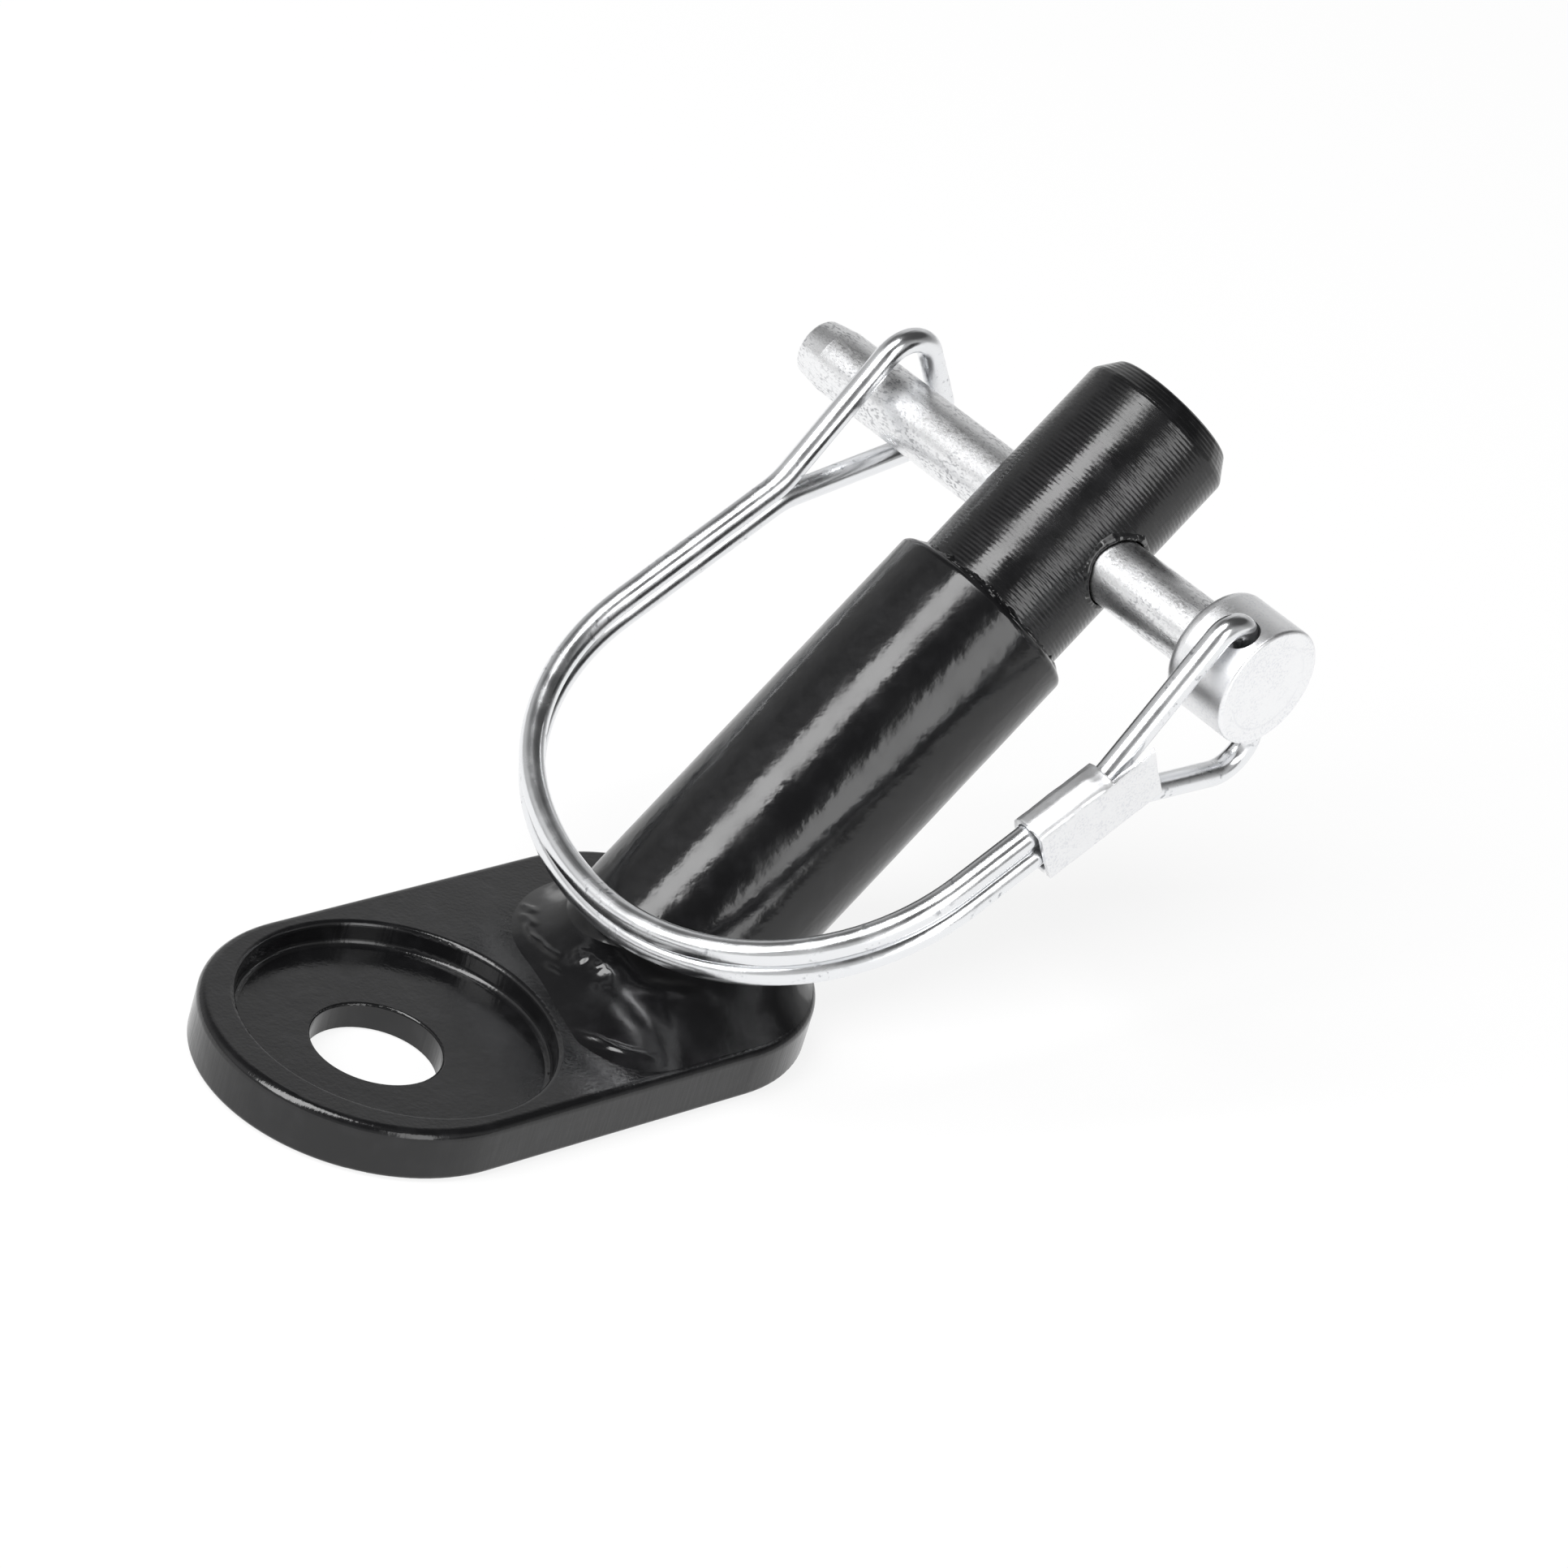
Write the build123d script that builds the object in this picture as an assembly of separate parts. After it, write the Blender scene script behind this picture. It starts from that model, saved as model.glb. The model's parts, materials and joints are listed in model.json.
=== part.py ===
from build123d import *
import os
from math import cos, radians, sin

# Bicycle trailer hitch coupler: an axle plate with a tube and stud welded to it, and a wire-lock pin
# through the stud. Every length is in millimetres.
#
# Frame: the origin is the centre of the axle hole on the plate's underside. +Z is up through the hole
# and +X runs along the plate towards the tube. The pin lies along Y, with its head on the -Y side.

# Axle plate
plate_thickness = 5.0
plate_end_radius = 16.5
plate_end_spacing = 31.0
plate_top_round = 0.9
plate_bottom_round = 0.5
axle_hole_radius = 6.0
recess_radius = 14.5
recess_offset = 1.7
recess_rim_round = 0.5
recess_floor_round = 0.6
axle_hole_rim_round = 0.25
web_thickness = 2.6

# Sleeve and stud, measured along their common axis from the plate's top face
tube_foot_x = 34.0
tube_angle = 46.0
sleeve_radius = 9.75
sleeve_length = 42.5
sleeve_rim_round = 0.7
stud_radius = 8.0
stud_start = 8.5
stud_length = 68.0
stud_chamfer_length = 2.2
stud_end_radius = 6.5
stud_shoulder_round = 1.0
stud_end_round = 0.5
cross_hole_distance = 52.7
cross_hole_radius = 3.5

# Weld bead round the sleeve's foot. At each height above the plate: how far the bead stands out past
# the sleeve, and how far its middle is shifted to the -Y side, where the bead is widest.
weld_levels = ((0.0, 3.8, 2.2), (1.0, 2.3, 1.1), (2.6, 1.0, 0.3), (5.0, -0.3, 0.0))

# Pin, measured along its own axis from the stud's axis, positive towards the head
pin_radius = 3.3
pin_tail_length = 34.0
pin_taper_length = 3.0
pin_tip_radius = 2.85
pin_tip_round = 0.4
head_radius = 5.95
head_start = 20.3
head_end = 28.0
head_back_round = 1.3
head_front_round = 0.35
socket_depth = 2.8
socket_clearance = 0.05
wire_hole_distance = 25.3
wire_hole_radius = 1.8

# Bail: one spring wire bent into a double-stranded D. Its plane is lifted off the tube's axis, and
# it leans a little in that plane. u runs from the head to the tail, v away from the pin, w up.
bail_lift = 13.25
bail_lean = 2.2
wire_radius = 1.2
strand_offset = 1.2
near_leg_u = -0.3
far_leg_u = -0.6
bail_leg_end_v = 34.0
# each strand's belly is three tangent arcs, and the far strand's first and last are larger
belly_radii = (23.3, 29.8, 21.2)
belly_turns = (91.0, 25.0, 64.0)
far_belly_growth = 0.5
head_loop_near_w = 8.8
head_loop_near_v = -0.8
head_loop_near_radius = 2.2
head_loop_far_w = -12.4
head_loop_far_v = 1.15
head_loop_far_radius = 3.6
head_near_splay_v = 17.2
head_far_splay_v = 17.8
head_splay_radius = 4.0
eye_u = 48.0
eye_base_v = -3.0
eye_near_w = 8.9
eye_far_w = -8.1
eye_corner_radius = 3.5
eye_splay_v = 16.0
eye_splay_radius = 7.0

# Ferrule crimped over the two strands, beside the head. Both wire ends butt inside it.
ferrule_start_v = 12.95
ferrule_end_v = 26.2
ferrule_wall = 0.65
ferrule_middle_u = -0.45
ferrule_inner_u = 1.4
ferrule_inner_w = 2.45
ferrule_rolled_round = 1.9
ferrule_flat_round = 0.8
ferrule_short_v = 17.6
ferrule_slot_v = 18.6
wire_butt_v = 22.0
wire_butt_gap = 0.8

tube_direction = Vector(cos(radians(tube_angle)), 0, sin(radians(tube_angle)))
pin_direction = Vector(0, -1, 0)
tube_plane = Plane(origin=(tube_foot_x, 0, plate_thickness), x_dir=pin_direction, z_dir=tube_direction)
pin_centre = Vector(tube_foot_x, 0, plate_thickness) + tube_direction * cross_hole_distance
pin_plane = Plane(origin=pin_centre, x_dir=tube_direction, z_dir=pin_direction)


def bail_frame():
    """The bail's plane: origin in the head's cross-hole, x = u, y = v and z = w."""
    leg_angle = radians(tube_angle - bail_lift)
    away = Vector(-cos(leg_angle), 0, -sin(leg_angle))
    lean = radians(bail_lean)
    u_direction = pin_direction * -cos(lean) - away * sin(lean)
    v_direction = away * cos(lean) - pin_direction * sin(lean)
    hole = pin_centre + pin_direction * wire_hole_distance
    return Plane(origin=hole, x_dir=u_direction, z_dir=u_direction.cross(v_direction))


def turned(*profile):
    """A solid of revolution about Z from (radius, height) points."""
    outline = Polyline(*[(r, 0, z) for r, z in profile], close=True)
    return revolve(make_face(outline), Axis.Z)


def circles_of(solid, radius):
    return solid.edges().filter_by(GeomType.CIRCLE).filter_by(lambda e: abs(e.radius - radius) < 0.01)


def plate_outline():
    slot = SlotCenterToCenter(plate_end_spacing, 2 * plate_end_radius)
    return Pos(plate_end_spacing / 2, 0, 0) * slot


def axle_plate():
    plate = extrude(plate_outline(), plate_thickness)
    plate = fillet(plate.edges().group_by(Axis.Z)[-1], plate_top_round)
    plate = fillet(plate.edges().group_by(Axis.Z)[0], plate_bottom_round)
    plate -= extrude(Circle(axle_hole_radius), plate_thickness)
    recess = Pos(recess_offset, 0, web_thickness) * Circle(recess_radius)
    plate -= extrude(recess, plate_thickness)
    recess_edges = circles_of(plate, recess_radius)
    plate = fillet(recess_edges.group_by(Axis.Z)[-1], recess_rim_round)
    recess_edges = circles_of(plate, recess_radius)
    plate = fillet(recess_edges.group_by(Axis.Z)[0], recess_floor_round)
    return fillet(circles_of(plate, axle_hole_radius).group_by(Axis.Z)[-1], axle_hole_rim_round)


def above_plate(solid):
    """What is left of a solid over the plate's top face."""
    return split(solid, Plane.XY.offset(plate_thickness), keep=Keep.TOP)


def sleeve_tube():
    foot_overrun = 2 * sleeve_radius
    r, top = sleeve_radius, sleeve_length
    blank = turned((0, -foot_overrun), (r, -foot_overrun), (r, top), (0, top))
    blank = fillet(blank.edges().group_by(Axis.Z)[-1], sleeve_rim_round)
    blank -= turned((0, -foot_overrun), (stud_radius, -foot_overrun), (stud_radius, top), (0, top))
    return above_plate(tube_plane * blank)


def stud_bar():
    shoulder = stud_length - stud_chamfer_length
    bar = turned(
        (0, stud_start),
        (stud_radius, stud_start),
        (stud_radius, shoulder),
        (stud_end_radius, stud_length),
        (0, stud_length),
    )
    bar = fillet(circles_of(bar, stud_radius).group_by(Axis.Z)[-1], stud_shoulder_round)
    bar = fillet(circles_of(bar, stud_end_radius), stud_end_round)
    across = Pos(0, 0, cross_hole_distance) * Rot(0, 90, 0)
    bar -= across * Cylinder(cross_hole_radius, 4 * stud_radius)
    return tube_plane * bar


def weld_bead():
    """A concave bead round the sleeve's foot, wide at the plate and running out up the sleeve."""
    sections = []
    for height, stand_out, shift in weld_levels:
        x = tube_foot_x + height * tube_direction.X / tube_direction.Z
        half_length = sleeve_radius / tube_direction.Z + stand_out
        section = Ellipse(half_length, sleeve_radius + stand_out)
        sections.append(Pos(x, -shift, plate_thickness + height) * section)
    bead = loft(sections)
    bead &= extrude(plate_outline(), 2 * plate_thickness + weld_levels[-1][0])
    bead -= tube_plane * Cylinder(sleeve_radius, 4 * sleeve_length)
    return bead


def pin_shaft():
    inner_end = head_start + socket_depth - socket_clearance
    shaft = turned(
        (0, -pin_tail_length),
        (pin_tip_radius, -pin_tail_length),
        (pin_radius, -pin_tail_length + pin_taper_length),
        (pin_radius, inner_end),
        (0, inner_end),
    )
    shaft = fillet(shaft.edges().group_by(Axis.Z)[0], pin_tip_round)
    return pin_plane * shaft


def pin_head():
    r = head_radius
    head = turned((0, head_start), (r, head_start), (r, head_end), (0, head_end))
    head = fillet(head.edges().group_by(Axis.Z)[0], head_back_round)
    head = fillet(head.edges().group_by(Axis.Z)[-1], head_front_round)
    socket_end = head_start + socket_depth
    socket_radius = pin_radius + socket_clearance
    head -= turned((0, 0), (socket_radius, 0), (socket_radius, socket_end), (0, socket_end))
    cross_hole = bail_frame() * Cylinder(wire_hole_radius, 4 * head_radius)
    return pin_plane * head - cross_hole


def belly_arcs(start_u, growth, w):
    """Three tangent arcs in u, v that turn a strand through half a circle, from leg to leg."""
    first, second, third = belly_radii
    radii = (first + growth, second, third + growth)
    centre = Vector(start_u + radii[0], bail_leg_end_v, w)
    turned_so_far = 0.0
    arcs = []
    for index, (radius, turn) in enumerate(zip(radii, belly_turns)):
        if index:
            centre += spoke(turned_so_far) * (radii[index - 1] - radius)
        angles = (turned_so_far, turned_so_far + turn / 2, turned_so_far + turn)
        arcs.append(ThreePointArc(*[centre + spoke(angle) * radius for angle in angles]))
        turned_so_far += turn
    return arcs


def spoke(angle):
    """The direction from a belly arc's centre to its point, angle degrees on from the head's leg."""
    return Vector(-cos(radians(angle)), sin(radians(angle)), 0)


def bail_path():
    """The wire's centre line in u, v, w, from one butt end round to the other."""
    near, far = strand_offset, -strand_offset
    near_belly = belly_arcs(near_leg_u, 0, near)
    far_belly = belly_arcs(far_leg_u, far_belly_growth, far)
    near_end = near_belly[-1] @ 1
    far_end = far_belly[-1] @ 1
    head_loop = FilletPolyline(
        (far_leg_u, wire_butt_v - wire_butt_gap / 2, far),
        (far_leg_u, head_far_splay_v, far),
        (0, head_loop_far_v, head_loop_far_w),
        (0, head_loop_near_v, head_loop_near_w),
        (near_leg_u, head_near_splay_v, near),
        (near_leg_u, bail_leg_end_v, near),
        radius=[head_splay_radius, head_loop_far_radius, head_loop_near_radius, head_splay_radius],
    )
    eye = FilletPolyline(
        near_end,
        (near_end.X, eye_splay_v, near),
        (eye_u, eye_base_v, eye_near_w),
        (eye_u, eye_base_v, eye_far_w),
        (far_end.X, eye_splay_v, far),
        far_end,
        radius=[eye_splay_radius, eye_corner_radius, eye_corner_radius, eye_splay_radius],
    )
    last_run = Line((far_leg_u, bail_leg_end_v, far), (far_leg_u, wire_butt_v + wire_butt_gap / 2, far))
    return Wire([*head_loop.edges(), *near_belly, *eye.edges(), *far_belly, last_run])


def bail_wire():
    path = bail_path()
    start = Plane(origin=path @ 0, z_dir=path % 0)
    wire = sweep(start * Circle(wire_radius), path=path)
    print(f"bail wire length {path.length:.1f} mm, volume over section times length", end=" ")
    print(f"{wire.volume / (Circle(wire_radius).area * path.length):.4f}")
    return bail_frame() * wire


def ferrule_block(grow, end_overrun):
    """The ferrule's outline in v and w, thick in u, grown outwards by grow."""
    length = ferrule_end_v - ferrule_start_v + 2 * end_overrun
    middle_v = (ferrule_start_v + ferrule_end_v) / 2
    half_u = ferrule_inner_u + grow
    block = Box(2 * half_u, length, 2 * (ferrule_inner_w + grow))
    long_edges = block.edges().filter_by(Axis.Y)
    block = fillet(long_edges.group_by(Axis.Z)[-1], min(ferrule_rolled_round, half_u - 0.05))
    flat = block.edges().filter_by(Axis.Y).group_by(Axis.Z)[0]
    return Pos(ferrule_middle_u, middle_v, 0) * fillet(flat, ferrule_flat_round)


def ferrule():
    body = ferrule_block(ferrule_wall, 0) - ferrule_block(0, 1)
    reach = 4 * ferrule_inner_w
    # towards the head the rolled half stops short, and the flat wall on the outside runs on
    short_length = ferrule_short_v - ferrule_start_v
    rolled_off = Box(reach, 2 * short_length, reach, align=(Align.MIN, Align.CENTER, Align.MIN))
    body -= Pos(ferrule_middle_u - ferrule_inner_u, ferrule_start_v, 0) * rolled_off
    # the far strand splays out through a slot in the edge
    slot_length = ferrule_slot_v - ferrule_start_v
    slot = Box(2 * ferrule_inner_u, 2 * slot_length, reach, align=(Align.CENTER, Align.CENTER, Align.MAX))
    body -= Pos(ferrule_middle_u, ferrule_start_v, 0) * slot
    return bail_frame() * body


PARTS = {
    "axle_plate": axle_plate,
    "sleeve_tube": sleeve_tube,
    "stud_bar": stud_bar,
    "weld_bead": weld_bead,
    "pin_shaft": pin_shaft,
    "pin_head": pin_head,
    "bail_wire": bail_wire,
    "ferrule": ferrule,
}

os.makedirs("parts", exist_ok=True)
for node, build in PARTS.items():
    export_step(build(), f"parts/{node}.step")
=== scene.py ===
import json
from math import cos, exp, hypot, pi, radians, sin, sqrt, tau

import bmesh
import bpy
from mathutils import Matrix, Vector, noise


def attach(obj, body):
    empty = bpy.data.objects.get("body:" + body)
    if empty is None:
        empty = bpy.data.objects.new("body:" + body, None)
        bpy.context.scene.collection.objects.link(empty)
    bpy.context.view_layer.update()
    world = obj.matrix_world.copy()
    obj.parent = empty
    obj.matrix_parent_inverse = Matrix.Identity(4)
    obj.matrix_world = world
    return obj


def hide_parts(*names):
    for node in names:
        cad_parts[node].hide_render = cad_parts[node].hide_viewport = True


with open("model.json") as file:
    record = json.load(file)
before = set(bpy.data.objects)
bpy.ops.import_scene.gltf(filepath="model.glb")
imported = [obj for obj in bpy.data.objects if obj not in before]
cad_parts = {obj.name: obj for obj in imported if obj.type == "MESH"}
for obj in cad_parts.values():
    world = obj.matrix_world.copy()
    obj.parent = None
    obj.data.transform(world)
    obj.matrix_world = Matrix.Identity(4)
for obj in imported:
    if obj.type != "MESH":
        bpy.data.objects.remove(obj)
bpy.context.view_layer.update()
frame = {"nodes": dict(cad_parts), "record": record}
scene = bpy.context.scene
MM = 0.001

# The part's driving dimensions, in millimetres and degrees, in the CAD's own frame
PLATE_TOP = 5.0
PLATE_END = 31.0
PLATE_RADIUS = 16.5
PLATE_TOP_ROUND = 0.9
RECESS_X, RECESS_RADIUS, RECESS_RIM_ROUND = 1.7, 14.5, 0.5
TUBE_FOOT_X, TUBE_ANGLE = 34.0, 46.0
SLEEVE_RADIUS, SLEEVE_LENGTH = 9.75, 42.5
STUD_RADIUS, CROSS_HOLE_AT, CROSS_HOLE_RADIUS = 8.0, 52.7, 3.5
PIN_CENTRE_TO_HEAD_FRONT = 28.0
BAIL_LEAN = 2.2
FERRULE_START, FERRULE_SHORT, FERRULE_END = 12.95, 17.6, 26.2

tube_axis = Vector((cos(radians(TUBE_ANGLE)), 0, sin(radians(TUBE_ANGLE))))
tube_side = Vector((0, -1, 0))
tube_up = tube_side.cross(tube_axis)
tube_foot = Vector((TUBE_FOOT_X, 0, PLATE_TOP))


def tube_point(radius, angle, along):
    """A point round the tube's axis, in millimetres: angle 0 is on the -Y side."""
    return tube_foot + tube_axis * along + (tube_side * cos(angle) + tube_up * sin(angle)) * radius


def bail_axes():
    """The bail's u, v and w directions and its origin, in the head's wire hole."""
    swing = next(j for j in frame["record"]["behaviour"]["joints"] if j["name"] == "bail_swing")
    w = Vector(swing["axis"]).normalized()
    straight_u = Vector((0, 1, 0))
    straight_v = w.cross(straight_u)
    lean = radians(BAIL_LEAN)
    u = straight_u * cos(lean) - straight_v * sin(lean)
    v = straight_v * cos(lean) + straight_u * sin(lean)
    return Vector(swing["pos_m"]) / MM, u, v, w


# ---------------------------------------------------------------- camera, floor and light
CAMERA_TARGET = Vector((44.12, 0.63, 20.0)) * MM
CAMERA_DISTANCE = 0.58466
CAMERA_DIRECTION = -140.92, 29.861
CAMERA_ROLL = radians(17.321)
FOCAL_LENGTH, SENSOR_WIDTH = 147.456, 36
NEAREST_SEEN = 0.02
LIGHT_TARGET = Vector((0.04, 0, 0.02))
FLOOR_HALF_WIDTH = 6.0
FLOOR_DROP = 0.0002
FLOOR_GREY, FLOOR_GLOW = 0.14, 0.85
# how bright the room is low down, overhead and at its darkest, and the heights that it fades between
ROOM_LOW, ROOM_HIGH, ROOM_DARKEST = 0.60, 0.28, 0.08
ROOM_FADE = 0.25, 0.80
# azimuth, elevation, inner and outer radius in degrees, and how much lighter or darker
ROOM_PATCHES = (
    (-137, 42, 8, 30, -0.30),
    (-75, 0, 6, 22, -0.30),
    (40, 30, 8, 32, 0.28),
    (141, 28, 6, 24, 0.34),
    (92, 50, 8, 30, -0.14),
    (-8, 60, 22, 42, -0.24),
    (-25, 30, 12, 32, -0.30),
)


def direction(azimuth, elevation):
    """The unit vector towards an azimuth and elevation in degrees; azimuth 0 is +X."""
    a, e = radians(azimuth), radians(elevation)
    return Vector((cos(e) * cos(a), cos(e) * sin(a), sin(e)))


def add_camera():
    """A long lens, looking down at the part from its -X, -Y side, with the camera rolled."""
    towards = direction(*CAMERA_DIRECTION)
    right = Vector((0, 0, 1)).cross(towards).normalized()
    up = towards.cross(right)
    x_axis = right * cos(CAMERA_ROLL) + up * sin(CAMERA_ROLL)
    y_axis = towards.cross(x_axis)
    data = bpy.data.cameras.new("camera")
    data.sensor_width = SENSOR_WIDTH
    data.lens = FOCAL_LENGTH
    data.clip_start = NEAREST_SEEN
    camera = bpy.data.objects.new("camera", data)
    facing = Matrix((x_axis, y_axis, towards)).transposed().to_4x4()
    camera.matrix_world = Matrix.Translation(CAMERA_TARGET + towards * CAMERA_DISTANCE) @ facing
    scene.collection.objects.link(camera)
    scene.camera = camera


def area_light(name, azimuth, elevation, distance, width, height, radiance):
    """A rectangular softbox that far off in that direction, in degrees and metres, facing the part."""
    data = bpy.data.lights.new(name, "AREA")
    data.shape = "RECTANGLE"
    data.size, data.size_y = width, height
    data.energy = radiance * width * height * pi
    light = bpy.data.objects.new(name, data)
    towards = direction(azimuth, elevation)
    facing = towards.to_track_quat("Z", "Y").to_matrix().to_4x4()
    light.matrix_world = Matrix.Translation(LIGHT_TARGET + towards * distance) @ facing
    scene.collection.objects.link(light)


class Nodes:
    """A short way to write a node tree."""

    def __init__(self, tree):
        self.tree = tree
        tree.nodes.clear()

    def add(self, kind, inputs=None, **settings):
        node = self.tree.nodes.new(kind)
        for key, value in settings.items():
            setattr(node, key, value)
        for key, value in (inputs or {}).items():
            socket = node.inputs[key]
            if isinstance(value, bpy.types.NodeSocket):
                self.tree.links.new(value, socket)
            else:
                socket.default_value = value
        return node

    def math(self, operation, a, b=0.0):
        return self.add("ShaderNodeMath", {0: a, 1: b}, operation=operation).outputs[0]

    def scaled(self, value, factor):
        return self.math("MULTIPLY", value, factor)

    def remap(self, value, low, high, to_low=0.0, to_high=1.0):
        """A smooth step from to_low to to_high as the value goes from low to high."""
        ranges = {"Value": value, "From Min": low, "From Max": high, "To Min": to_low, "To Max": to_high}
        return self.add("ShaderNodeMapRange", ranges, interpolation_type="SMOOTHSTEP").outputs["Result"]

    def vector(self, operation, a, b=None):
        inputs = {0: a} if b is None else {0: a, 1: tuple(b)}
        return self.add("ShaderNodeVectorMath", inputs, operation=operation)

    def dot(self, vector, axis):
        return self.vector("DOT_PRODUCT", vector, axis).outputs["Value"]

    def mix(self, factor, low, high):
        """A colour between two others; each is a socket or three numbers."""
        node = self.add("ShaderNodeMix", {"Factor": factor}, data_type="RGBA")
        sockets = [socket for socket in node.inputs if socket.type == "RGBA"]
        for socket, color in zip(sockets, (low, high)):
            if isinstance(color, bpy.types.NodeSocket):
                self.tree.links.new(color, socket)
            else:
                socket.default_value = (*color, 1)
        return next(socket for socket in node.outputs if socket.type == "RGBA")

    def place(self):
        """The point on the surface, in metres in the part's own frame."""
        return self.add("ShaderNodeTexCoord").outputs["Object"]

    def noise(self, vector, per_metre, detail=2.0):
        inputs = {"Vector": vector, "Scale": per_metre, "Detail": detail}
        return self.add("ShaderNodeTexNoise", inputs).outputs["Fac"]

    def stretched(self, vector, scale):
        """Coordinates scaled unevenly, so that a noise on them runs along the smallest scale."""
        return self.add("ShaderNodeMapping", {"Vector": vector, "Scale": scale}).outputs["Vector"]


def add_world():
    """A grey room: light low down, dimmer overhead, darker where the camera stands."""
    world = bpy.data.worlds.new("studio")
    scene.world = world
    world.use_nodes = True
    n = Nodes(world.node_tree)
    where = n.add("ShaderNodeTexCoord").outputs["Generated"]
    level = n.remap(n.dot(where, (0, 0, 1)), *ROOM_FADE, ROOM_LOW, ROOM_HIGH)
    for azimuth, elevation, inner, outer, change in ROOM_PATCHES:
        cosine = n.dot(where, direction(azimuth, elevation))
        patch = n.remap(cosine, cos(radians(outer)), cos(radians(inner)), 0.0, change)
        level = n.math("ADD", level, patch)
    level = n.math("MAXIMUM", level, ROOM_DARKEST)
    back = n.add("ShaderNodeBackground", {"Strength": level})
    n.add("ShaderNodeOutputWorld", {"Surface": back.outputs["Background"]})


def add_floor():
    """A plain floor, pale mostly by its own glow, so that the shadows on it stay faint."""
    mesh = bpy.data.meshes.new("floor")
    s = FLOOR_HALF_WIDTH
    mesh.from_pydata([(-s, -s, 0), (s, -s, 0), (s, s, 0), (-s, s, 0)], [], [(0, 1, 2, 3)])
    floor = bpy.data.objects.new("floor", mesh)
    floor.location.z = -FLOOR_DROP
    scene.collection.objects.link(floor)
    material, n = new_material("floor")
    finish = {
        "Base Color": (FLOOR_GREY, FLOOR_GREY, FLOOR_GREY, 1),
        "Roughness": 0.9,
        "Specular IOR Level": 0.0,
        "Emission Color": (1, 1, 1, 1),
        "Emission Strength": FLOOR_GLOW,
    }
    shader = n.add("ShaderNodeBsdfPrincipled", finish)
    n.add("ShaderNodeOutputMaterial", {"Surface": shader.outputs["BSDF"]})
    mesh.materials.append(material)


# ---------------------------------------------------------------- materials
def new_material(name):
    material = bpy.data.materials.new(name)
    material.use_nodes = True
    return material, Nodes(material.node_tree)


def shaded(n, color, roughness, height, distance, metallic=0.0, **more):
    """Finish a material: a principled shader with a bump from a height field and its depth."""
    bump = n.add("ShaderNodeBump", {"Height": height, "Strength": 1.0, "Distance": distance})
    inputs = {"Base Color": color, "Roughness": roughness, "Metallic": metallic}
    inputs["Normal"] = bump.outputs["Normal"]
    inputs.update(more)
    shader = n.add("ShaderNodeBsdfPrincipled", inputs)
    n.add("ShaderNodeOutputMaterial", {"Surface": shader.outputs["BSDF"]})


# Noise scales are per metre, so 1000 gives marks about a millimetre across
PAINT_BLACK, PAINT_DUSTY = (0.0055, 0.0055, 0.006), (0.0100, 0.0100, 0.0108)
# light grey for chips in the paint, and also painted glints where the broken paint lips catch the light
PAINT_CHIP_AND_GLINT = (0.15, 0.15, 0.15)
PAINT_ROUGHNESS = 0.13, 0.21
TURNED_ROUGHNESS = 0.16, 0.26
PAINT_DEPTH = 0.045 * MM
TURNED_PITCH = 0.42 * MM
TURNED_LENGTH = 1.5 * MM
TURNED_RINGS = 0.40
# the crack's near black and dullness are painted shade for the bottoms of the gaps, darker than the paint
CRACK_SHADE_BLACK, CRACK_SHADE_GREY = (0.0008, 0.0008, 0.0008), (0.004, 0.004, 0.004)
CRACK_ROUGHNESS = 0.75, 0.95
CRACK_DEPTH = 0.02 * MM
ZINC_TINT, ZINC_FLECK_TINT = (1.0, 1.005, 1.015), (0.98, 0.99, 1.02)
ZINC_DEPTH = 0.012 * MM
WIRE_BRIGHT, WIRE_NICK = (0.84, 0.85, 0.865), (0.42, 0.43, 0.45)
WIRE_ROUGHNESS = 0.18, 0.28
WIRE_DEPTH = 0.010 * MM
SCRIBE_HALF_WIDTH = 0.04 * MM, 0.13 * MM


def turned_ridges(n, where):
    """Rings round the bar, and short torn lengths between them, as a lathe tool leaves."""
    along = n.dot(where, tube_axis)
    phase = n.scaled(along, tau / TURNED_PITCH)
    phase = n.math("ADD", phase, n.scaled(n.noise(where, 600.0), 1.4))
    rings = n.math("MULTIPLY", n.math("SINE", phase), n.noise(where, 380.0))
    stretched = {
        "X": n.scaled(along, 1.0 / TURNED_PITCH),
        "Y": n.scaled(n.dot(where, tube_side), 1.0 / TURNED_LENGTH),
        "Z": n.scaled(n.dot(where, tube_up), 1.0 / TURNED_LENGTH),
    }
    torn = n.noise(n.add("ShaderNodeCombineXYZ", stretched).outputs["Vector"], 1.0)
    return n.math("ADD", n.scaled(rings, TURNED_RINGS), torn)


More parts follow.
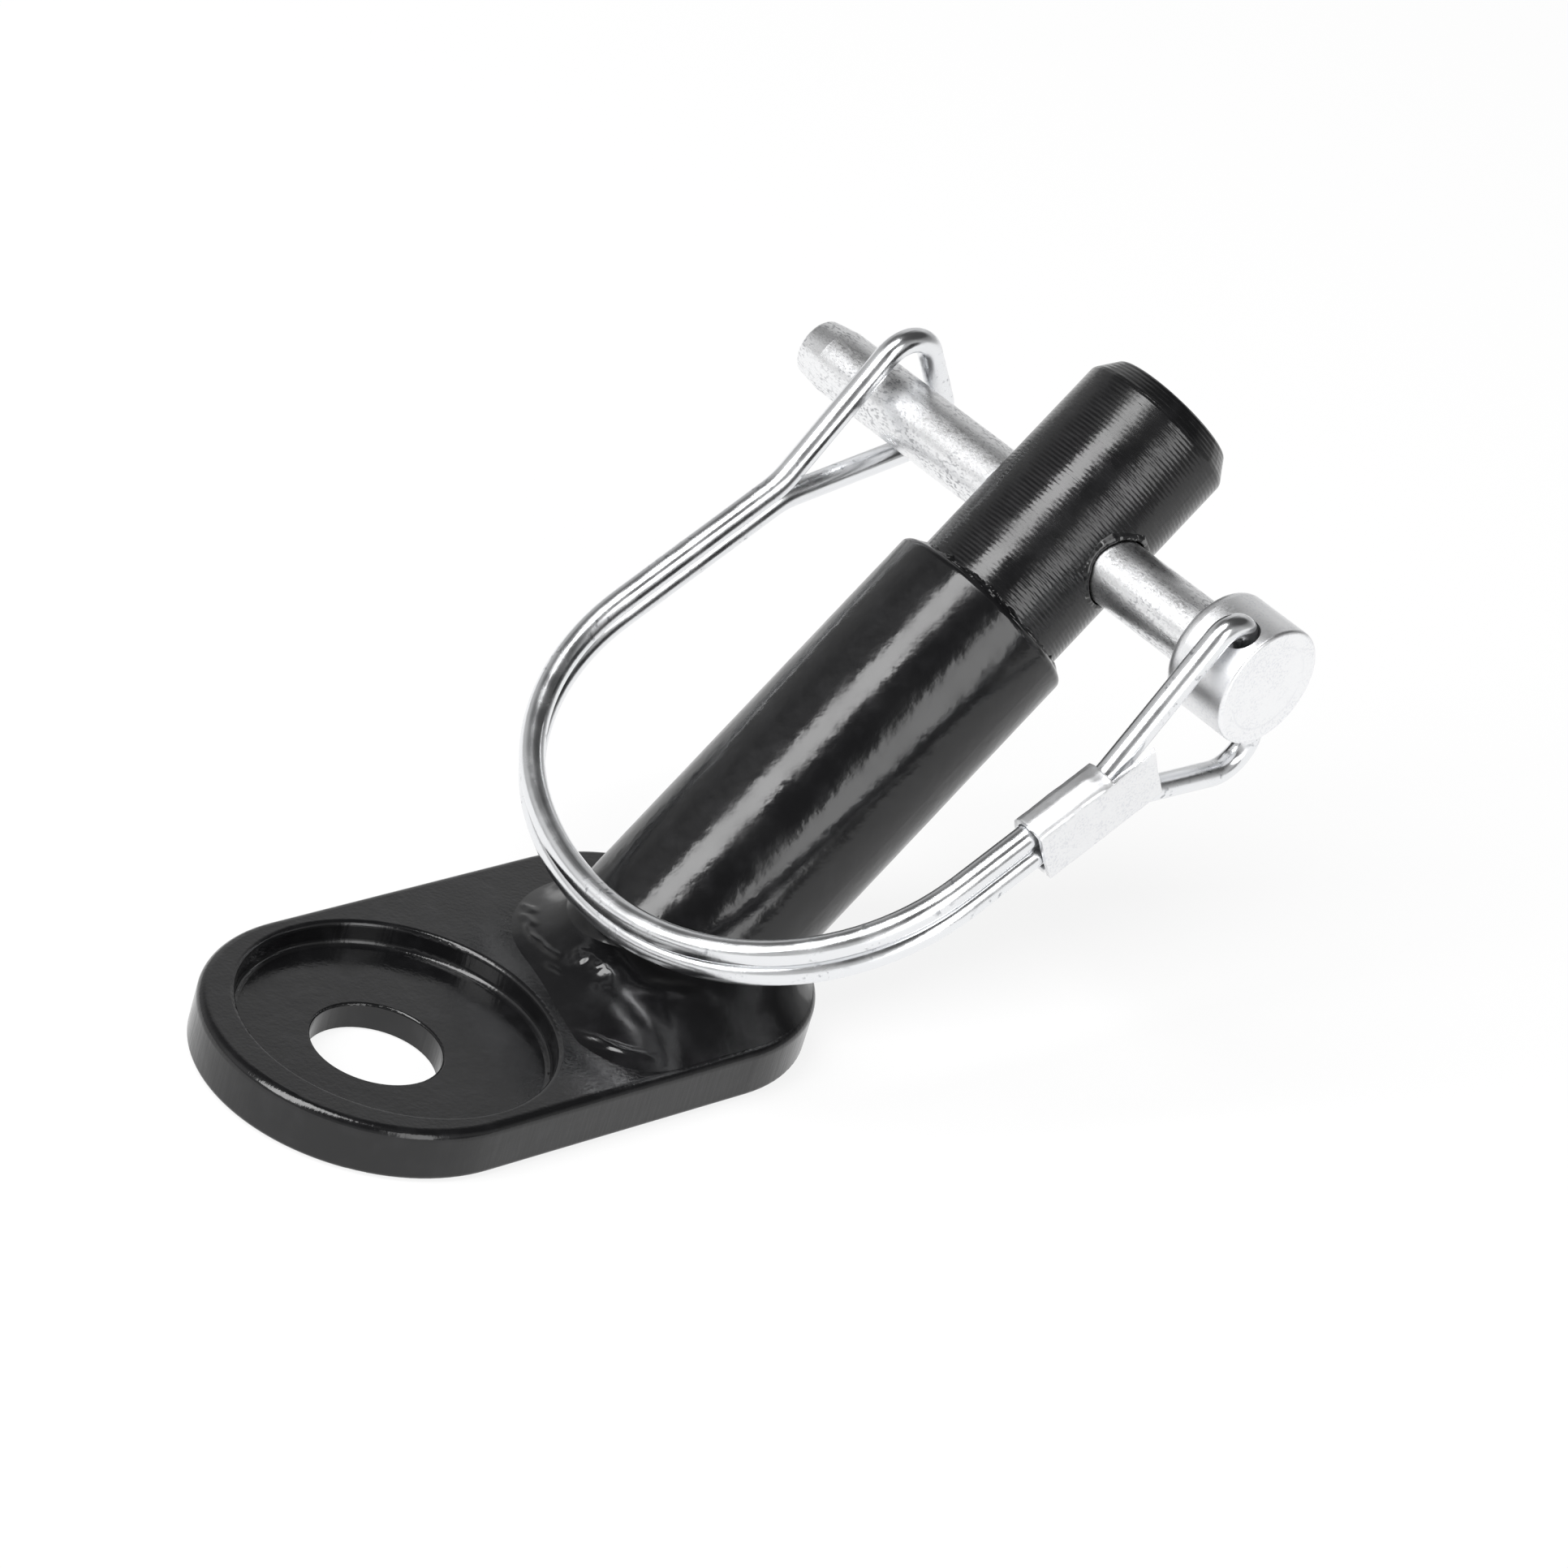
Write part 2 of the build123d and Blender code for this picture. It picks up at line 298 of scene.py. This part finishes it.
def black_paint(name, peel, mottle=0.0, turned=0.0, ground=0.0, chips_and_glints=False):
    """Thick gloss powder coat: near black, with an orange peel, and the metal's own marks under it, and if
    asked, light grey flecks that are partly chips and partly painted glints.
    """
    material, n = new_material(name)
    where = n.place()
    fine, broad = n.noise(where, 1100.0), n.noise(where, 330.0)
    height = n.math("ADD", n.scaled(fine, 0.25 * peel), n.scaled(broad, peel))
    if mottle:
        height = n.math("ADD", height, n.scaled(n.noise(where, 620.0, 3.0), mottle))
    if turned:
        height = n.math("ADD", height, n.scaled(turned_ridges(n, where), turned))
    if ground:
        streaks = n.noise(n.stretched(where, (1.0, 1.0, 0.07)), 2600.0, 3.0)
        height = n.math("ADD", height, n.scaled(streaks, ground))
    color = n.mix(n.remap(n.noise(where, 420.0, 4.0), 0.45, 0.75), PAINT_BLACK, PAINT_DUSTY)
    # light grey flecks: partly chips of bare metal, partly painted glints standing in for light caught by the
    # broken paint
    if chips_and_glints:
        color = n.mix(n.remap(n.noise(where, 1500.0, 3.0), 0.58, 0.64), color, PAINT_CHIP_AND_GLINT)
    rough = TURNED_ROUGHNESS if turned else PAINT_ROUGHNESS
    shaded(n, color, n.remap(n.noise(where, 240.0, 3.0), 0.35, 0.70, *rough), height, PAINT_DEPTH)
    return material


def gap_painted_shade(name):
    """Painted shade for the bottom of a crack: dull and nearly black, darker than the paint round it."""
    material, n = new_material(name)
    grit = n.noise(n.place(), 1800.0, 3.0)
    rough = n.remap(grit, 0.3, 0.7, *CRACK_ROUGHNESS)
    dull = {"Specular IOR Level": 0.05}
    shaded(n, n.mix(grit, CRACK_SHADE_BLACK, CRACK_SHADE_GREY), rough, grit, CRACK_DEPTH, **dull)
    return material


def scribed_line(n, where, centre, axis, radius):
    """A broken circle about an axis, on the face that the axis comes out of, in millimetres."""
    offset = n.vector("SUBTRACT", where, centre * MM).outputs[0]
    out = n.vector("LENGTH", n.vector("CROSS_PRODUCT", offset, axis).outputs[0]).outputs["Value"]
    line = n.remap(n.math("ABSOLUTE", n.math("SUBTRACT", out, radius * MM)), *SCRIBE_HALF_WIDTH, 1, 0)
    line = n.math("MULTIPLY", line, n.remap(n.dot(offset, axis), -0.5 * MM, -0.1 * MM))
    return n.math("MULTIPLY", line, n.remap(n.noise(where, 300.0), 0.38, 0.55, 0.1, 1))


def zinc_plate(name, fleck, roughness, tone, bump, squeeze=(1.0, 1.0, 1.0), scribed=None):
    """Bright zinc on steel with fine dark flecks, which squeeze draws out along an axis."""
    material, n = new_material(name)
    where = n.place()
    grain = n.noise(n.stretched(where, squeeze), 4600.0, 4.0)
    cloud = n.noise(n.stretched(where, squeeze), 520.0, 3.0)
    spots = n.math("MULTIPLY", n.remap(grain, 0.50, 0.62), n.remap(cloud, 0.36, 0.60, 0.15, 1))
    rough = n.remap(n.math("ADD", n.scaled(grain, 0.6), n.scaled(cloud, 0.4)), 0.35, 0.65, *roughness)
    height = grain
    if scribed:
        line = scribed_line(n, where, *scribed)
        height = n.math("SUBTRACT", height, n.scaled(line, 2.5))
        spots = n.math("MAXIMUM", spots, n.scaled(line, 0.6))
    light = tuple(tone * c for c in ZINC_TINT)
    dark = tuple(tone * (1 - fleck) * c for c in ZINC_FLECK_TINT)
    shaded(n, n.mix(spots, light, dark), rough, height, ZINC_DEPTH * bump, metallic=1.0)
    return material


def drawn_wire(name):
    """Bright spring wire: smooth, with a few short nicks."""
    material, n = new_material(name)
    where = n.place()
    nicks = n.noise(where, 1500.0, 5.0)
    cloud = n.noise(where, 260.0)
    marks = n.math("MULTIPLY", n.remap(nicks, 0.57, 0.70), n.remap(cloud, 0.50, 0.62))
    rough = n.remap(cloud, 0.35, 0.65, *WIRE_ROUGHNESS)
    shaded(n, n.mix(marks, WIRE_BRIGHT, WIRE_NICK), rough, nicks, WIRE_DEPTH, metallic=1.0)
    return material


def assign(node, material):
    """Give a CAD node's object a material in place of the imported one."""
    mesh = frame["nodes"][node].data
    for k in range(len(mesh.materials)):
        mesh.materials[k] = material


# ---------------------------------------------------------------- mesh helpers
def new_piece(name, verts, faces, material, body, sharp_angle):
    """A smooth-shaded piece from points in millimetres, riding on a CAD body."""
    mesh = bpy.data.meshes.new(name)
    mesh.from_pydata([tuple(Vector(p) * MM) for p in verts], [], faces)
    work = bmesh.new()
    work.from_mesh(mesh)
    bmesh.ops.recalc_face_normals(work, faces=work.faces)
    for face in work.faces:
        face.smooth = True
    for edge in work.edges:
        edge.smooth = len(edge.link_faces) != 2 or edge.calc_face_angle(0) < radians(sharp_angle)
    work.to_mesh(mesh)
    work.free()
    mesh.materials.append(material)
    piece = bpy.data.objects.new(name, mesh)
    scene.collection.objects.link(piece)
    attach(piece, body)
    return piece


def ring_faces(rows, columns):
    """Quads over a grid of points stored row by row, which wraps round both ways."""
    faces = []
    for i in range(rows):
        for j in range(columns):
            next_i, next_j = (i + 1) % rows, (j + 1) % columns
            a, b = i * columns + j, i * columns + next_j
            c, d = next_i * columns + next_j, next_i * columns + j
            faces.append((a, b, c, d))
    return faces


def wobble(point, size, seed=0.0):
    """Smooth noise between about -1 and 1, that varies over size millimetres."""
    return noise.noise(Vector(point) / size + Vector((seed, 1.7 * seed, -seed)))


def round_the_ring(controls, angle):
    """A smooth value at an angle, from (degrees, value) pairs that go once round."""
    turn = angle * 180 / pi % 360
    before = [(degrees - 360, value) for degrees, value in controls[-2:]]
    after = [(degrees + 360, value) for degrees, value in controls[:2]]
    around = [*before, *controls, *after]
    for (a0, v0), (a1, v1), (a2, v2), (a3, v3) in zip(around, around[1:], around[2:], around[3:]):
        if a1 <= turn <= a2:
            span = a2 - a1
            slope_1 = (v2 - v0) / (a2 - a0) * span
            slope_2 = (v3 - v1) / (a3 - a1) * span
            t = (turn - a1) / span
            rise = v1 * (2 * t**3 - 3 * t**2 + 1) + v2 * (3 * t**2 - 2 * t**3)
            return rise + slope_1 * (t**3 - 2 * t**2 + t) + slope_2 * (t**3 - t**2)
    raise ValueError(turn)


def smooth_least(a, b, blend):
    """The smaller of two numbers, with the corner between them rounded."""
    h = min(max(0.5 + 0.5 * (b - a) / blend, 0.0), 1.0)
    return b + (a - b) * h - blend * h * (1 - h)


# ---------------------------------------------------------------- the weld
# Angle round the sleeve's foot (0 at the plate's end, 270 on the -Y side), and there how many times
# as far out as the sleeve the weld's toe lies, and how high up the sleeve the weld starts.
WELD_TOE = (
    (0, 1.02), (40, 1.14), (80, 1.20), (115, 1.28), (145, 1.20), (168, 1.14), (187, 1.26), (207, 1.56),
    (228, 1.90), (248, 2.05), (270, 2.00), (295, 1.80), (325, 1.45), (345, 1.15),
)
WELD_RISE = (
    (0, 2.6), (60, 2.8), (120, 3.0), (165, 3.2), (195, 3.8), (225, 4.4), (260, 4.6), (300, 4.2), (335, 3.2),
)
# how full the fillet is: a small share is hollow, a half is flat
WELD_FULLNESS = (
    (0, 0.30), (90, 0.22), (160, 0.20), (190, 0.28), (212, 0.38), (235, 0.42), (265, 0.43), (300, 0.42),
    (335, 0.36),
)
# lumps where the bead was started and stopped: x, y, radius, height
WELD_LUMPS = (
    (21.8, -0.9, 1.00, 0.27), (22.5, -3.1, 1.10, 0.34), (21.9, -2.0, 0.40, -0.12), (24.0, -2.2, 0.70, 0.10),
    (21.2, -4.6, 1.10, -0.10),
)
# ridges across the weld's skin: the middle's x, y, its direction in degrees, half length, half width, height
WELD_RIDGES = (
    (26.2, -9.2, -36, 3.4, 0.80, 0.22),
    (16.8, -9.6, -62, 2.6, 0.30, 0.16), (17.9, -12.0, -45, 2.6, 0.30, 0.13),
    (24.4, 8.8, 78, 1.3, 0.34, 0.20), (23.0, 7.2, 70, 1.4, 0.34, 0.20), (21.7, 5.4, 66, 1.5, 0.32, 0.19),
    (21.2, 3.6, 76, 1.4, 0.32, 0.18), (20.9, 1.6, 85, 1.2, 0.34, 0.15), (19.9, -0.2, 95, 1.2, 0.32, 0.12),
)


# the least the toe keeps from the plate's edge and from the recess's rim, and the rounding of that limit
WELD_EDGE_GAP, WELD_RECESS_GAP, WELD_LIMIT_BLEND = 0.3, 0.05, 0.30
# how deep the toe is sunk in the plate and the top edge in the sleeve, and the closing skin's place inside
WELD_SUNK, WELD_TOP_SUNK = 0.03, 0.08
WELD_BURIED, WELD_BURIED_LOW, WELD_BURIED_HIGH = 0.8, -0.5, 1.5
WELD_COLUMNS, WELD_STEPS = 460, 56


def plate_inset(x, y):
    """How far a point lies inside the plate's outline."""
    return PLATE_RADIUS - hypot(x - min(max(x, 0.0), PLATE_END), y)


def plate_height(x, y):
    """The plate's top, with its rounded edge."""
    short = PLATE_TOP_ROUND - min(max(plate_inset(x, y), 0.0), PLATE_TOP_ROUND)
    return PLATE_TOP - PLATE_TOP_ROUND + sqrt(PLATE_TOP_ROUND**2 - short**2)


def on_the_plate(angle, reach):
    """A point of the plate's top, reach times as far out from the tube's foot as the sleeve."""
    x = TUBE_FOOT_X + SLEEVE_RADIUS / tube_axis.z * reach * cos(angle)
    return x, SLEEVE_RADIUS * reach * sin(angle)


def weld_limit(angle):
    """How far out the weld can reach without meeting the recess or the plate's edge."""
    low, step = 1.0, 0.02
    while step > 0.0001:
        x, y = on_the_plate(angle, low + step)
        clear = hypot(x - RECESS_X, y) - RECESS_RADIUS - RECESS_RIM_ROUND
        if plate_inset(x, y) > WELD_EDGE_GAP and clear > WELD_RECESS_GAP:
            low += step
        else:
            step /= 2
    return low


def weld_toe(angle):
    """The toe's place on the plate, kept off the recess and inside the plate's edge."""
    wanted = round_the_ring(WELD_TOE, angle) + 0.02 * wobble((cos(angle) * 6, sin(angle) * 6, 0), 2.6)
    x, y = on_the_plate(angle, smooth_least(wanted, weld_limit(angle), WELD_LIMIT_BLEND))
    return Vector((x, y, plate_height(x, y) - WELD_SUNK))


def sleeve_at(angle, height, inset=0.0):
    """A point on the sleeve at a height over the plate's top."""
    radius = SLEEVE_RADIUS - inset
    x = TUBE_FOOT_X + height * tube_axis.x / tube_axis.z + radius / tube_axis.z * cos(angle)
    return Vector((x, radius * sin(angle), PLATE_TOP + height))


def weld_relief(point, t):
    """How far the weld's skin stands out of its smooth fillet."""
    fade = min(1.0, 5 * t, 7 * (1 - t))
    relief = 0.05 * wobble(point, 4.5) + 0.006 * wobble(point, 1.1, 3.0)
    for x, y, radius, height in WELD_LUMPS:
        away = hypot(point.x - x, point.y - y) / radius
        uneven = 1 + 0.35 * wobble(point, 0.45, 8.0)
        relief += height * uneven * exp(-away * away)
    for x, y, heading, half_length, half_width, height in WELD_RIDGES:
        along = (point.x - x) * cos(radians(heading)) + (point.y - y) * sin(radians(heading))
        side = (point.y - y) * cos(radians(heading)) - (point.x - x) * sin(radians(heading))
        side += 0.20 * wobble(point, 1.4, 5.0)
        relief += height * exp(-((along / half_length) ** 4) - (side / half_width) ** 2)
    return relief * fade


def weld_profile(angle):
    """The weld's fillet at an angle: its top on the sleeve, its bend and its toe, and the way it faces."""
    toe = weld_toe(angle)
    rise = round_the_ring(WELD_RISE, angle)
    fullness = round_the_ring(WELD_FULLNESS, angle)
    bend = sleeve_at(angle, 0).lerp(toe, fullness) + Vector((0, 0, fullness * rise))
    outward = Vector((cos(angle), sin(angle), 0.9)).normalized()
    return sleeve_at(angle, rise, WELD_TOP_SUNK), bend, toe, outward


def add_weld():
    """The weld's skin from the sleeve down to its toe, closed underneath inside the plate and sleeve."""
    angles = [tau * j / WELD_COLUMNS for j in range(WELD_COLUMNS)]
    profiles = [weld_profile(angle) for angle in angles]
    rows = []
    for i in range(WELD_STEPS + 1):
        t = i / WELD_STEPS
        row = []
        for top, bend, toe, outward in profiles:
            skin = top * (1 - t) ** 2 + bend * 2 * t * (1 - t) + toe * t**2
            row.append(skin + outward * weld_relief(skin, t))
        rows.append(row)
    toes = rows[-1]
    rows.append([toe.lerp(tube_foot, 0.02) + Vector((0, 0, WELD_BURIED_LOW)) for toe in toes])
    rows.append([sleeve_at(angle, WELD_BURIED_LOW, WELD_BURIED) for angle in angles])
    rows.append([sleeve_at(angle, WELD_BURIED_HIGH, WELD_BURIED) for angle in angles])
    points = [point for row in rows for point in row]
    faces = ring_faces(len(rows), WELD_COLUMNS)
    weld = new_piece("weld", points, faces, WELD_PAINT, "bracket", 75)
    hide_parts("weld_bead")


# ---------------------------------------------------------------- paint round the stud
# radius and height over the sleeve's end, from the sleeve over two broken lips to the stud
SEAM_OUTLINE = (
    (9.25, -0.06), (9.10, 0.08), (8.88, 0.24), (8.68, 0.40), (8.58, 0.42), (8.50, 0.24), (8.47, 0.03),
    (8.30, 0.02), (8.24, 0.22), (8.20, 0.50), (8.12, 0.66), (8.02, 0.74), (7.94, 0.74), (7.90, -0.30),
    (8.60, -0.35),
)
# rows of faces in the groove between the lips, which get the crack's painted shade
SEAM_GAP_ROWS = 5, 6, 7
SEAM_COLUMNS = 560
SEAM_RADIUS = 8.4
SEAM_LEAST, SEAM_MOST = 0.12, 1.25
# distance out from the cross-hole's edge and height over the stud, from inside the hole outwards
RIM_OUTLINE = (
    (0.02, -0.7), (-0.06, -0.10), (-0.03, 0.10), (0.06, 0.24), (0.20, 0.28), (0.36, 0.18), (0.50, 0.03),
    (0.62, -0.03), (0.45, -0.3),
)
# rows of faces down in the hole's mouth, which get the crack's painted shade
RIM_GAP_ROWS = 0, 1
RIM_COLUMNS = 340
RIM_TORN_AT = radians(55)
RIM_LEAST, RIM_MOST = 0.05, 1.4


def add_paint_ring(name, points, columns, gap_rows):
    """A closed ring of chipped paint, whose light flecks are partly painted glints; the faces in its gap rows
    get the crack's painted shade.
    """
    faces = ring_faces(len(points) // columns, columns)
    piece = new_piece(name, points, faces, CHIPPED_GLINTING_PAINT, "bracket", 50)
    piece.data.materials.append(CRACK_PAINTED_SHADE)
    for polygon in piece.data.polygons:
        if polygon.index // columns in gap_rows:
            polygon.material_index = 1


def add_stud_seam():
    """Paint that bridges the corner between the sleeve's end and the stud, cracked and chipped."""
    points = []
    for radius, height in SEAM_OUTLINE:
        low_or_buried = height < 0.05
        for j in range(SEAM_COLUMNS):
            angle = tau * j / SEAM_COLUMNS
            spot = tube_point(SEAM_RADIUS, angle, 0)
            swell = 0.62 + 0.9 * wobble(spot, 2.2) + 0.28 * wobble(spot, 0.6, 2.0)
            lift = height if low_or_buried else height * min(SEAM_MOST, max(SEAM_LEAST, swell))
            shift = 0.0 if low_or_buried else 0.10 * wobble(spot, 1.0, 9.0)
            points.append(tube_point(radius + shift, angle, SLEEVE_LENGTH + lift))
    add_paint_ring("stud_seam", points, SEAM_COLUMNS, SEAM_GAP_ROWS)


def hole_rim_point(angle, out, side, proud):
    """A point near the cross-hole's mouth: out past the hole's edge, and proud of the stud."""
    reach = CROSS_HOLE_RADIUS + out
    along, across = reach * cos(angle), reach * sin(angle)
    deep = sqrt(STUD_RADIUS**2 - across**2) + proud
    return tube_foot + tube_axis * (CROSS_HOLE_AT + along) + tube_up * across + tube_side * side * deep


def add_hole_rim(name, side):
    """The burr of paint round one mouth of the stud's cross-hole, torn on the side away from the plate."""
    points = []
    for out, proud in RIM_OUTLINE:
        for j in range(RIM_COLUMNS):
            angle = tau * j / RIM_COLUMNS
            spot = (4 * cos(angle), 4 * sin(angle), side * 3)
            upper = 0.5 + 0.5 * cos(angle - RIM_TORN_AT * side)
            swell = 0.20 + 0.75 * upper + 0.7 * wobble(spot, 1.6) + 0.22 * wobble(spot, 0.5, 4.0)
            swell = min(RIM_MOST, max(RIM_LEAST, swell))
            lift = proud * swell if proud > 0 else proud
            wide = out * (0.6 + 0.6 * swell) if out > 0.1 else out
            points.append(hole_rim_point(angle, wide, side, lift))
    add_paint_ring(name, points, RIM_COLUMNS, RIM_GAP_ROWS)


# ---------------------------------------------------------------- ferrule
# The folded sheet's outside in u, w, from the flat face's free edge, over the roll and down the back
FERRULE_OUTLINE = (
    (-2.48, -3.10), (-2.50, -2.60), (-2.50, 2.30), (-2.42, 2.62), (-2.10, 2.86), (-1.50, 3.12), (-0.60, 3.22),
    (0.30, 3.06), (1.00, 2.60), (1.42, 1.95), (1.60, 1.10), (1.60, -2.20), (1.35, -2.80), (0.80, -3.12),
    (-1.60, -3.14),
)
FERRULE_FLAT_POINTS = 4
FERRULE_SHEET, FERRULE_EDGE_ROUND = 0.55, 0.09
FERRULE_SPACING, FERRULE_STATIONS = 0.22, 60
FERRULE_ROLL_FROM = 2.2
FERRULE_EAR_LENGTH = 1.3


def outline_samples(outline, spacing):
    """Points along an outline, about spacing apart, and where its corners are among them."""
    samples, corners = [], []
    for start, end in zip(outline, outline[1:]):
        count = max(1, round(hypot(end[0] - start[0], end[1] - start[1]) / spacing))
        corners.append(len(samples))
        for k in range(count):
            t = k / count
            samples.append((start[0] + (end[0] - start[0]) * t, start[1] + (end[1] - start[1]) * t))
    samples.append(outline[-1])
    return samples, corners


def ferrule_point(axes, a, b, along):
    """A point of the ferrule's outside in the frame, pinched by the crimp and curled at its ear."""
    origin, u, v, w = axes
    spot = (a, along, b)
    pinch = 0.05 * wobble(spot, 2.2) + 0.02 * wobble(spot, 0.8, 6.0)
    crease = exp(-(((along - FERRULE_SHORT) / 1.2) ** 2))
    over_roll = max(0.0, b - FERRULE_ROLL_FROM) * (1 - 0.25 * crease)
    ear = max(0.0, 1 - (along - FERRULE_START) / FERRULE_EAR_LENGTH)
    curl = 0.35 * ear * ear * max(0.0, b) / 3
    raised = 0.5 * ear if b > 2.0 and along < FERRULE_SHORT else 0.0
    lift = min(b, FERRULE_ROLL_FROM) + over_roll + raised
    return origin + u * (a + pinch - curl) + v * along + w * (lift + 0.4 * pinch)


def add_ferrule():
    """The sheet folded over the two strands; the rolled part stops short of the flat face's end."""
    axes = bail_axes()
    samples, corners = outline_samples(FERRULE_OUTLINE, FERRULE_SPACING)
    flat_end = corners[FERRULE_FLAT_POINTS - 1]
    columns = len(samples)
    points = []
    for i in range(FERRULE_STATIONS + 1):
        along = FERRULE_START + (FERRULE_END - FERRULE_START) * i / FERRULE_STATIONS
        points += [ferrule_point(axes, a, b, along) for a, b in samples]
    short_at = (FERRULE_SHORT - FERRULE_START) / (FERRULE_END - FERRULE_START) * FERRULE_STATIONS
    faces = []
    for i in range(FERRULE_STATIONS):
        for j in range(columns - 1):
            if i + 0.5 < short_at and j >= flat_end:
                continue
            a = i * columns + j
            faces.append((a, a + 1, a + columns + 1, a + columns))
    used = sorted({k for face in faces for k in face})
    renumber = {old: new for new, old in enumerate(used)}
    faces = [tuple(renumber[k] for k in face) for face in faces]
    points = [points[k] for k in used]
    ferrule = new_piece("crimp_ferrule", points, faces, FERRULE_ZINC, "bail", 40)
    thick = ferrule.modifiers.new("sheet", "SOLIDIFY")
    thick.thickness = FERRULE_SHEET * MM
    thick.offset = -1
    thick.use_even_offset = True
    bevel = ferrule.modifiers.new("edges", "BEVEL")
    bevel.width = FERRULE_EDGE_ROUND * MM
    bevel.segments = 2
    bevel.limit_method = "ANGLE"
    bevel.angle_limit = radians(50)
    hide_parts("ferrule")


# ---------------------------------------------------------------- the scene
SCRIBED_RADIUS = 4.3

add_camera()
add_world()
add_floor()
area_light("softbox_left", azimuth=172, elevation=51, distance=1.2, width=0.50, height=1.4, radiance=9.0)
area_light("softbox_right", azimuth=-101, elevation=22, distance=1.3, width=0.54, height=1.1, radiance=3.4)

WELD_PAINT = black_paint("weld_paint", peel=0.7)
# paint round the stud and the cross-hole, whose light grey flecks are partly chips and partly painted glints
CHIPPED_GLINTING_PAINT = black_paint("chipped_glinting_paint", peel=0.6, chips_and_glints=True)
# near-black painted shade for the bottoms of the cracks and the cross-hole's mouth
CRACK_PAINTED_SHADE = gap_painted_shade("crack")
FERRULE_ZINC = zinc_plate("ferrule_zinc", fleck=0.10, roughness=(0.34, 0.44), tone=0.86, bump=0.3)
assign("axle_plate", black_paint("plate_paint", peel=0.8, ground=0.5))
assign("sleeve_tube", black_paint("sleeve_paint", peel=1.6, mottle=0.6))
assign("stud_bar", black_paint("stud_paint", peel=0.6, turned=1.15))
assign("weld_bead", WELD_PAINT)
along_the_pin = (1.0, 0.45, 1.0)
pin_zinc = zinc_plate(
    "pin_zinc", fleck=0.45, roughness=(0.26, 0.40), tone=0.90, bump=1.6, squeeze=along_the_pin
)
assign("pin_shaft", pin_zinc)
head_front = tube_foot + tube_axis * CROSS_HOLE_AT + tube_side * PIN_CENTRE_TO_HEAD_FRONT
scribed = (head_front, tube_side, SCRIBED_RADIUS)
head_zinc = zinc_plate("head_zinc", fleck=0.10, roughness=(0.32, 0.42), tone=0.92, bump=0.4, scribed=scribed)
assign("pin_head", head_zinc)
assign("bail_wire", drawn_wire("spring_wire"))
assign("ferrule", FERRULE_ZINC)

add_weld()
add_stud_seam()
add_hole_rim("hole_rim_near", 1)
add_hole_rim("hole_rim_far", -1)
add_ferrule()

scene.view_settings.view_transform = "Standard"
